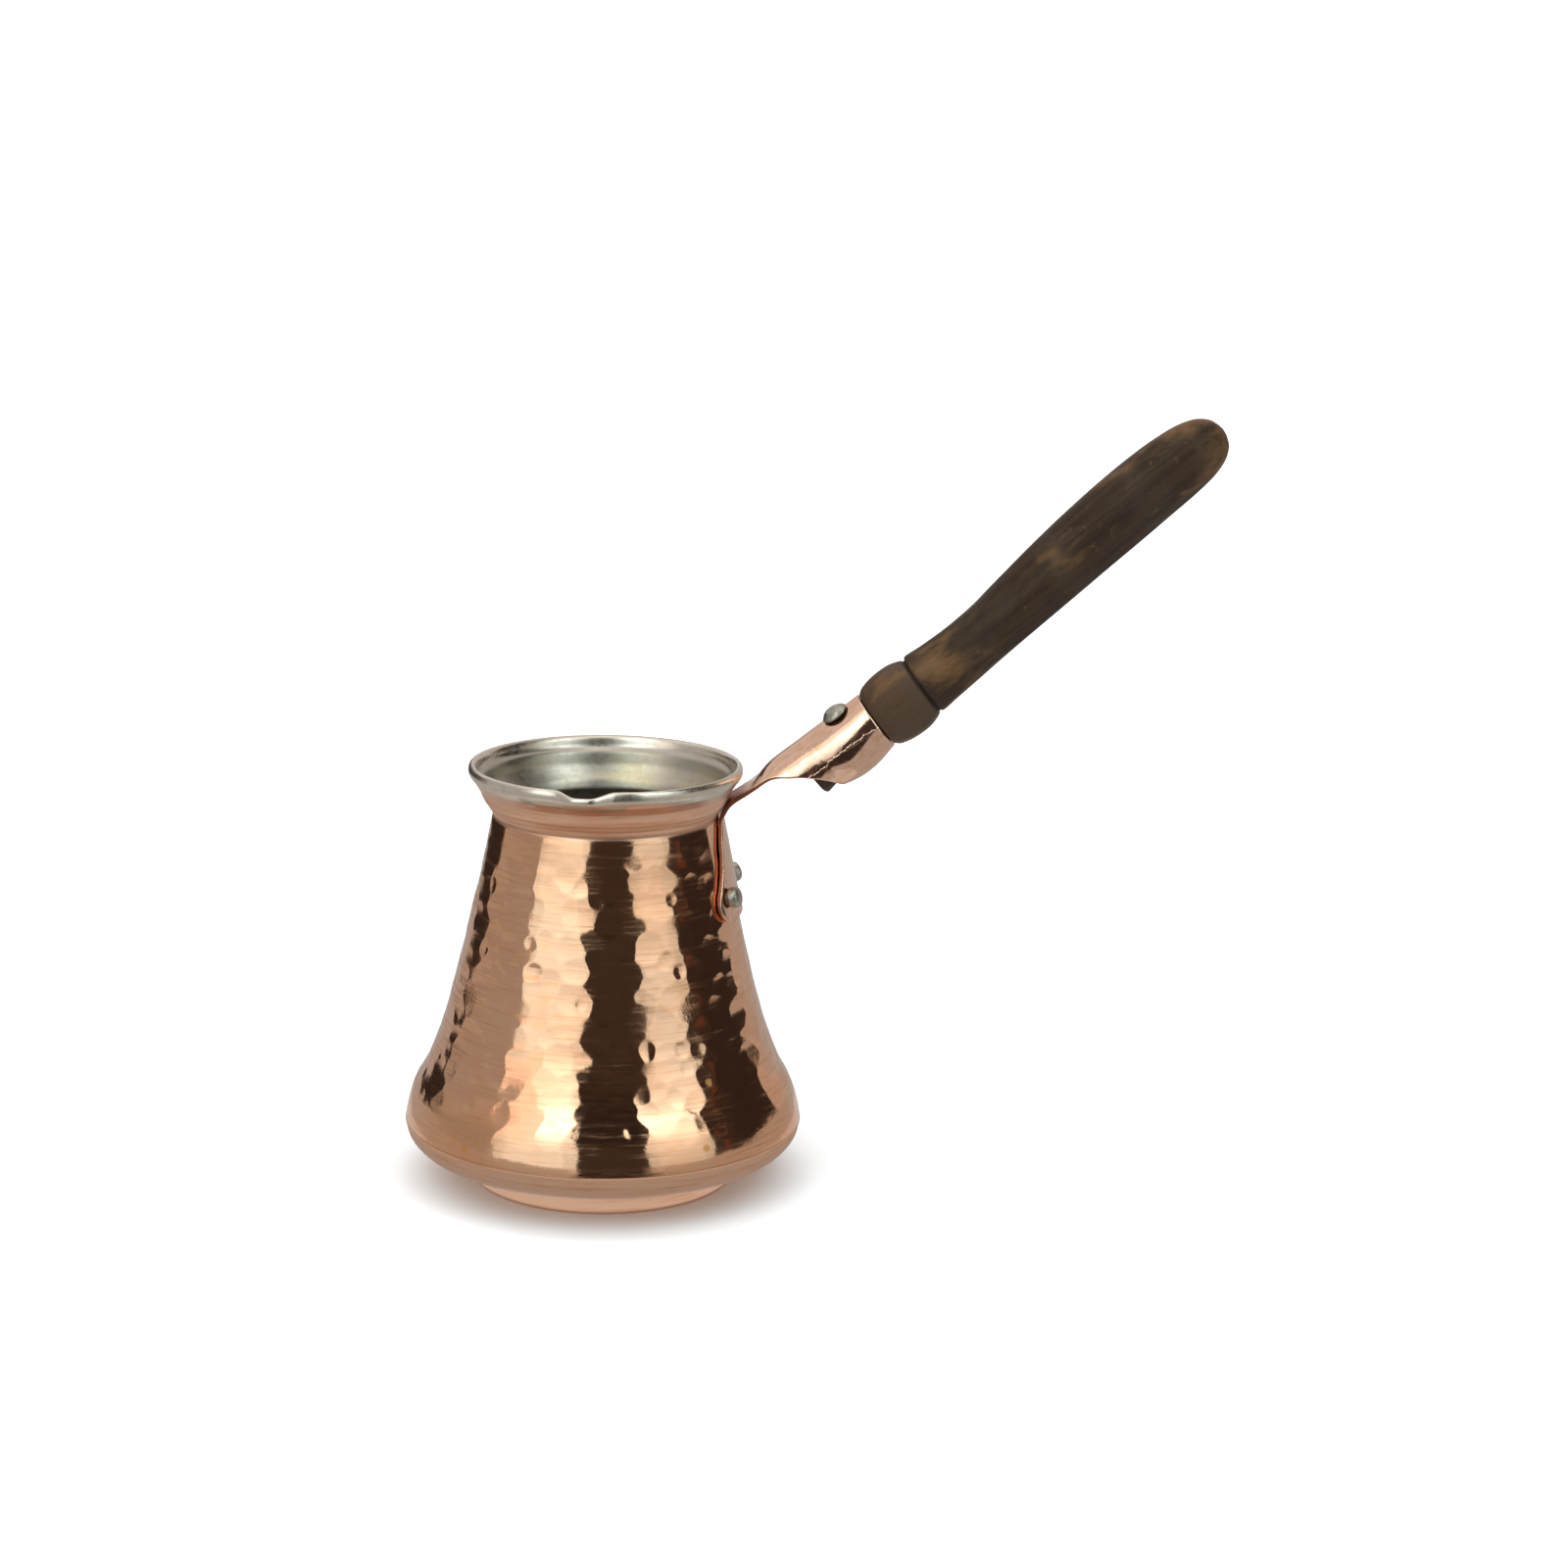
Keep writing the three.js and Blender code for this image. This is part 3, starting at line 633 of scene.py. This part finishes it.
def build_bracket():
    stations = sheet_stations()
    rings = []
    waves = [(rng.uniform(0.25, 0.9), rng.uniform(0, 6.28), rng.uniform(-0.5, 0.5))
             for _ in range(6)]
    steps = np.linalg.norm(np.diff(stations[:, :3], axis=0), axis=1)
    run = np.concatenate([[0], np.cumsum(steps)])
    for i, row in enumerate(stations):
        at, curl = row[:3], row[3:6] / np.linalg.norm(row[3:6])
        bend, half = row[6], row[7]
        v, d = section(half)
        wave = sum(np.sin(a * run[i] + b + c * v) for a, b, c in waves) * SHEET_WAVE
        turn = bend * v
        flat = abs(bend) < 1e-5
        y = v if flat else np.sin(turn) / bend
        n = v * 0 if flat else (1 - np.cos(turn)) / bend
        points = at + np.outer(y, SIDE) + np.outer(n, curl)
        normal = np.outer(-np.sin(turn), SIDE) + np.outer(np.cos(turn), curl)
        rings.append(points + normal * (d + wave)[:, None])
    columns = len(rings[0])
    verts = np.vstack(rings)
    faces = bridge_rings(len(rings), columns)
    # where each face of the sheet starts and ends in the loop of points around its cut
    top_end = FACE_POINTS - 1
    under_start = FACE_POINTS + EDGE_POINTS
    under_end = under_start + FACE_POINTS - 1
    for start, flip in ((0, False), ((len(rings) - 1) * columns, True)):
        # close the two cut ends with a strip of quads and a cap over each rounded edge
        loop = [start + i for i in range(columns)]
        pairs = [(loop[i], loop[under_end - i]) for i in range(FACE_POINTS)]
        strip = [(a, b, d, c) for (a, b), (c, d) in zip(pairs, pairs[1:])]
        ends = [tuple(reversed(loop[top_end:under_start + 1])),
                tuple(reversed(loop[under_end:] + loop[:1]))]
        for f in strip + ends:
            faces.append(tuple(reversed(f)) if flip else f)
    z = verts[:, 2]
    depth = np.tile(section(1.0)[1], len(rings))
    across = np.concatenate([section(row[7])[0] for row in stations])
    edge = 1 - smooth(np.abs(depth), 0.3, 0.55)
    # painted dark reflection across the strap's bend and painted shade along the sheet's cut edges
    stain_and_shade = np.minimum(0.85 * band_mask(z, 101, 108.5, 2.0) + 0.85 * edge, 1.0)
    satin = np.full(len(verts), 0.1) + 0.6 * edge
    make_piece("bracket_sheet", "handle_bracket", "bracket_copper", verts, faces,
               copper("sheet_copper", False, (0.93, 0.61, 0.45), (0.90, 0.55, 0.385),
                      (0.30, 0.10, 0.055)), tarnish=stain_and_shade, satin=satin, across=across)


# ------------------------------------------------------------------ the handle
def build_handle():
    sides = WOOD_COLUMNS
    rows = [*TENON, *GRIP]
    corners = {len(TENON), len(TENON) + 1}
    line = curve(rows, 0.7, corners=corners, measure=3)
    rings = []
    shades = []
    collar = []
    turn = np.arange(sides) * 2 * math.pi / sides
    phase = rng.uniform(0, 6.28, 4)
    for i, (s, n, radius) in enumerate(line):
        before, after = line[max(i - 1, 0)], line[min(i + 1, len(line) - 1)]
        tilt = math.atan2(after[1] - before[1], after[0] - before[0]) if s > 17 else 0.0
        across = np.array(RISE) * math.cos(tilt) - np.array(ALONG) * math.sin(tilt)
        # a hand-turned handle isn't quite round
        worn = (0.06 * np.sin(2 * turn + phase[0] + s * 0.03)
                + 0.04 * np.sin(3 * turn + phase[1] - s * 0.05))
        r = radius * (1 - 0.006) + (worn if s > 1 else 0) - 0.05
        ring = np.array(on_handle(s, n)) + np.outer(r * np.cos(turn), across)
        rings.append(ring + np.outer(r * np.sin(turn), SIDE))
        # painted shade in the groove between collar and grip
        shades.append(np.full(sides, math.exp(-(((s - 15.25) / 0.5) ** 2))))
        collar.append(np.full(sides, 0.6 if 0 < s < 15.2 else 0.0))
    verts = np.vstack(rings + [[np.array(on_handle(line[0][0], line[0][1]))],
                               [np.array(on_handle(line[-1][0] + 0.25, line[-1][1]))]])
    shades = np.concatenate([*shades, [0, 0]])
    collar = np.concatenate([*collar, [0, 0]])
    faces = [tuple(reversed(f)) for f in bridge_rings(len(rings), sides)]
    faces += fan(list(range(sides)), len(verts) - 2, False)
    faces += fan(list(range((len(rings) - 1) * sides, len(rings) * sides)), len(verts) - 1, True)
    make_piece("handle_wood", "wooden_handle", "handle_wood", verts, faces, walnut("dark_walnut"),
               groove=shades, collar=collar)


# ------------------------------------------------------------------ the rivets
def build_rivet(name, node, profile, at, out, dents, material):
    sides = RIVET_COLUMNS
    line = curve(profile, 0.25, corners={i for i, (radius, _) in enumerate(profile)
                                         if radius == RIVET_SHANK})
    quat = Vector((0, 0, 1)).rotation_difference(out)
    turn = np.arange(sides) * 2 * math.pi / sides
    phase = rng.uniform(0, 6.28, 6)
    verts, stain_and_shade = [], []
    for r, h in line:
        top = smooth(h, 0.6, 1.6)
        wobble = 1 + dents * top * (0.5 * np.sin(2 * turn + phase[0])
                                    + 0.4 * np.sin(3 * turn + phase[1])
                                    + 0.3 * np.sin(5 * turn + phase[2]))
        lift = dents * top * 2.2 * (np.sin(2 * turn + phase[3] + r) * min(r / 2, 1))
        for k in range(sides):
            p = Vector((r * wobble[k] * math.cos(turn[k]), r * wobble[k] * math.sin(turn[k]),
                        h + lift[k]))
            verts.append(at + quat @ p)
            # painted shade round the foot of the head, where it sits on the sheet
            stain_and_shade.append(float(0.8 * math.exp(-(((h - 0.3) / 0.35) ** 2)) * (r > 1.7)))
    count = len(line)
    verts += [at + quat @ Vector((0, 0, line[0][1])), at + quat @ Vector((0, 0, line[-1][1]))]
    stain_and_shade += [0, 0]
    faces = bridge_rings(count, sides)
    faces += fan(list(range(sides)), len(verts) - 2, True)
    faces += fan(list(range((count - 1) * sides, count * sides)), len(verts) - 1, False)
    make_piece(name, node, "rivet_steel", [tuple(v) for v in verts], faces, material, tarnish=stain_and_shade)


def build_rivets():
    grey = steel("rivet_grey")
    gap = next(g for z, _, g in PLATE if z > PLATE_RIVET_Z)
    seat = -(SHEET + gap + WALL + SKIN_GAP + TIN + 0.3)
    plate = [(0.4, seat - 0.9), (1.5, seat - 0.75), (2.4, seat - 0.3), (2.5, seat),
             (RIVET_SHANK, seat), (RIVET_SHANK, 0.3), (2.55, 0.3), (2.72, 0.6), (2.75, 1.6),
             (2.6, 2.4), (2.1, 2.85), (1.2, 3.0), (0.3, 3.05)]
    for name, node, degrees in (("rivet_front", "plate_rivet_front", -PLATE_RIVET_ANGLE),
                                ("rivet_back", "plate_rivet_back", PLATE_RIVET_ANGLE)):
        turn = math.radians(degrees)
        lean = math.atan2(wall_radius(74) - wall_radius(88), 14)
        out = Matrix.Rotation(turn, 3, "Z") @ Vector((math.cos(lean), 0, math.sin(lean)))
        r = wall_radius(PLATE_RIVET_Z) + gap + SHEET
        at = Vector((r * math.cos(turn), r * math.sin(turn), PLATE_RIVET_Z))
        build_rivet(name, node, plate, at, out, 0.02, grey)
    radius = 8.48
    out = RISE * math.cos(SOCKET_RIVET_TURN) - SIDE * math.sin(SOCKET_RIVET_TURN)
    at = on_handle(SOCKET_RIVET_AT, MOUTH_R - radius) + out * (radius + SHEET / 2)
    dome = [(0.4, -11.4), (RIVET_SHANK, -9.5), (RIVET_SHANK, 0.3), (3.5, 0.3), (3.7, 0.55),
            (3.45, 0.95), (2.8, 1.5), (1.9, 1.95), (0.9, 2.15), (0.25, 2.2)]
    build_rivet("rivet_socket", "socket_rivet", dome, at, out, 0.03, grey)


build_pot()
build_lining()
build_bracket()
build_handle()
build_rivets()


# ------------------------------------------------------------------ studio
def emitter(name, colour, strength):
    material = bpy.data.materials.new(name)
    material.use_nodes = True
    tree = material.node_tree
    tree.nodes.clear()
    glow = tree.nodes.new("ShaderNodeEmission")
    glow.inputs["Color"].default_value = (*colour, 1.0)
    glow.inputs["Strength"].default_value = strength
    out = tree.nodes.new("ShaderNodeOutputMaterial")
    tree.links.new(glow.outputs[0], out.inputs["Surface"])
    return material


CARD_POINTS = 13
CARD_EYE = 0.11
CARD_LOWEST = 0.002
DISC_POINTS = 48


def circle(radius, height):
    return [(radius * math.cos(a), radius * math.sin(a), height)
            for a in np.linspace(0, 2 * math.pi, DISC_POINTS, False)]


def card(name, azimuths, elevations, colour, strength, distance=1.5, lights=False):
    """A curved upright card around the pot. Azimuth 0 is at -Y and 90 at +X, in degrees.

    Elevations are seen from the pot's upper wall, CARD_EYE metres above the floor.
    """
    angles = np.radians(np.linspace(*azimuths, CARD_POINTS))
    levels = [max(CARD_EYE + distance * math.tan(math.radians(e)), CARD_LOWEST)
              for e in elevations]
    verts = [(distance * math.sin(a), -distance * math.cos(a), h) for h in levels for a in angles]
    faces = [(i + 1, i, i + CARD_POINTS, i + CARD_POINTS + 1) for i in range(CARD_POINTS - 1)]
    return reflected(name, verts, faces, colour, strength, lights)


def reflected(name, verts, faces, colour, strength, lights=False):
    """A card that only reflections see, and that gives light if it is a lamp."""
    mesh = bpy.data.meshes.new(name)
    mesh.from_pydata(verts, [], faces)
    mesh.materials.append(emitter(name, colour, strength))
    made = bpy.data.objects.new(name, mesh)
    bpy.context.scene.collection.objects.link(made)
    made.visible_camera = False
    made.visible_shadow = False
    made.visible_transmission = False
    made.visible_diffuse = lights
    return made


def build_floor():
    """A plain pale floor."""
    mesh = bpy.data.meshes.new("floor")
    mesh.from_pydata(circle(60, 0), [], [tuple(range(DISC_POINTS))])
    paper = bpy.data.materials.new("floor_paper")
    paper.use_nodes = True
    shader = paper.node_tree.nodes["Principled BSDF"]
    shader.inputs["Base Color"].default_value = (0.90, 0.90, 0.90, 1.0)
    shader.inputs["Roughness"].default_value = 0.8
    shader.inputs["Specular IOR Level"].default_value = 0.1
    mesh.materials.append(paper)
    floor = bpy.data.objects.new("floor", mesh)
    bpy.context.scene.collection.objects.link(floor)


def build_cards():
    """Two soft boxes with dark gaps beside and between them, a tone behind, and the table with a
    painted shadow under the pot.
    """
    white, dark = (0.86, 1.0, 1.04), (0.55, 0.45, 0.40)
    grey, warm = (1.0, 0.98, 0.96), (0.93, 0.88, 0.84)
    # the soft boxes get brighter upwards: lowest and highest elevation, strength
    steps = ((-5, 4, 1.15), (4, 9, 1.33), (9, 13, 1.5), (13, 17, 1.62), (17, 21, 1.78),
             (21, 26, 2.0), (26, 31, 2.3), (31, 37, 2.7), (37, 62, 3.2))
    for low, high, tone in steps:
        side = min(tone, 1.5)
        for name, left, right, strength in (
                ("far_left", -62, -56, 0.85 * side), ("mid_left", -56, -42, side),
                ("left", -42, -20, tone), ("near_left", -20, -13, 0.85 * tone),
                ("near_right", 28, 34, 0.66 * tone), ("right", 34, 60, 0.78 * tone),
                ("far_right", 60, 67, 0.66 * tone)):
            colour = warm if name in ("far_left", "mid_left") and high > 9 else white
            card(f"softbox_{name}_{high}", (left, right), (low, high), colour, strength,
                 lights=True)
    for low, high, tone in ((-5, 16, 0.085), (16, 24, 0.065), (24, 62, 0.045)):
        card(f"flag_middle_{high}", (-13, 28), (low, high), dark, tone)
        card(f"flag_right_{high}", (67, 74), (low, high), dark, tone)
    for low, high in ((-5, 3), (9, 16), (19, 23), (33, 44)):
        card(f"flag_warm_{high}", (74.5, 79), (low, high), (0.9, 0.40, 0.26), 0.12)
    card("flag_right_edge", (74, 81), (-5, 62), dark, 0.06, 1.55)
    card("flag_far", (81, 122), (-5, 62), dark, 0.055)
    card("flag_left", (-171, -114), (-12, 15), dark, 0.06, 0.42)
    card("back_right", (122, 178), (-5, 55), (1.0, 0.94, 0.90), 0.50)
    card("back_high", (-182, -125), (16, 55), grey, 0.66)
    card("back_low", (-182, -165), (-5, 16), grey, 0.66)
    # the table as the metal sees it, with a painted shadow ring under the pot's bell
    for name, radius, height, tone in (("table_far", 50.0, 0.0006, 0.43),
                                       ("table_ring", 0.125, 0.0007, 0.60),
                                       ("table_painted_shadow", 0.080, 0.0008, 0.38),
                                       ("table_foot", 0.043, 0.0010, 0.66)):
        reflected(name, circle(radius, height), [tuple(range(DISC_POINTS))], grey, tone)
    strip = [(-0.04, -0.17, 0.0012), (0.125, -0.17, 0.0012), (0.55, -1.3, 0.0012),
             (-0.25, -1.3, 0.0012)]
    reflected("front_tone", strip, [(0, 1, 2, 3)], dark, 0.06)


def build_lamp():
    """A broad, soft light from above that the metal doesn't show as a spot."""
    lamp = bpy.data.lights.new("overhead", "SUN")
    lamp.angle = math.radians(100)
    lamp.energy = 2.1
    top = bpy.data.objects.new("overhead", lamp)
    top.rotation_euler = (math.radians(8), math.radians(-6), 0)
    top.visible_glossy = False
    bpy.context.scene.collection.objects.link(top)


def build_world():
    """A room that brightens upwards, in front of a white backdrop."""
    scene = bpy.context.scene
    world = bpy.data.worlds.new("studio")
    world.use_nodes = True
    scene.world = world
    tree = world.node_tree
    background = tree.nodes["Background"]
    place = tree.nodes.new("ShaderNodeTexCoord")
    split = tree.nodes.new("ShaderNodeSeparateXYZ")
    ramp = tree.nodes.new("ShaderNodeValToRGB")
    tree.links.new(place.outputs["Generated"], split.inputs[0])
    tree.links.new(split.outputs["Z"], ramp.inputs[0])
    tones = ((0.0, 0.37), (0.26, 0.39), (0.57, 0.50), (0.87, 0.85), (1.0, 1.15))
    stops = ramp.color_ramp.elements
    while len(stops) < len(tones):
        stops.new(0.5)
    for stop, (at, tone) in zip(stops, tones):
        stop.position = at
        stop.color = (tone, tone, tone, 1)
    # the backdrop behind the pot is plain white
    path = tree.nodes.new("ShaderNodeLightPath")
    mixed = tree.nodes.new("ShaderNodeMix")
    mixed.data_type = "RGBA"
    tree.links.new(path.outputs["Is Camera Ray"], mixed.inputs[0])
    tree.links.new(ramp.outputs[0], mixed.inputs[6])
    mixed.inputs[7].default_value = (1.05, 1.05, 1.05, 1)
    tree.links.new(mixed.outputs[2], background.inputs["Color"])
    background.inputs["Strength"].default_value = 1.0
    scene.view_settings.view_transform = "Standard"


def build_camera():
    azimuth, elevation, roll = math.radians(-1.4), math.radians(12.76), math.radians(1.15)
    target = Vector((47.5, -6.3, 110.8)) * MM
    back = Vector((math.sin(azimuth) * math.cos(elevation),
                   -math.cos(azimuth) * math.cos(elevation), math.sin(elevation)))
    right = Vector((math.cos(azimuth), math.sin(azimuth), 0))
    up = back.cross(right)
    x = right * math.cos(roll) + up * math.sin(roll)
    y = up * math.cos(roll) - right * math.sin(roll)
    lens = bpy.data.cameras.new("camera")
    lens.lens = 73.3
    lens.sensor_width = 36.0
    lens.clip_start, lens.clip_end = 0.01, 200.0
    camera = bpy.data.objects.new("camera", lens)
    turn = Matrix((x, y, back)).transposed().to_4x4()
    camera.matrix_world = Matrix.Translation(target + back * 848.7 * MM) @ turn
    bpy.context.scene.collection.objects.link(camera)
    bpy.context.scene.camera = camera


build_floor()
build_cards()
build_lamp()
build_world()
build_camera()
